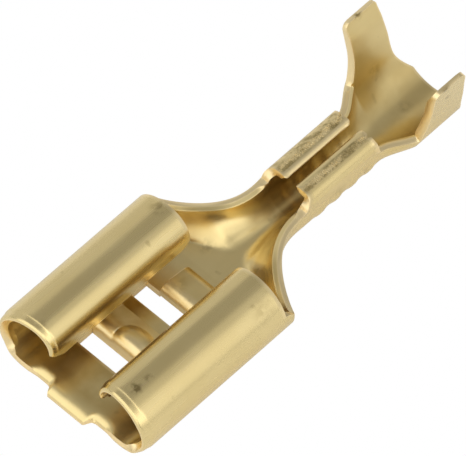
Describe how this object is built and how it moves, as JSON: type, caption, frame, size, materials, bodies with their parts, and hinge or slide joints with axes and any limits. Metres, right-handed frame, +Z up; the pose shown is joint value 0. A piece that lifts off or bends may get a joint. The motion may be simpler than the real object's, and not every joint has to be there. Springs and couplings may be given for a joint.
{
  "type": "female spade terminal",
  "caption": "Uninsulated female spade terminal rolled from one brass sheet, with curled tab receptacle, folded wire barrel and open insulation grip.",
  "frame": {"origin": "middle of the footprint, on the underside of the floor that the terminal lies on", "axes": "+X from the tab mouth to the wire end, +Z up through the open side, +Y to the left when looking along +X"},
  "size_m": [0.02, 0.0076, 0.0044],
  "materials": {
    "terminal": "satin, lightly brushed along the length, brighter cut and coined edges"
  },
  "bodies": {
    "root": {"terminal": "terminal"}
  },
  "joints": []
}
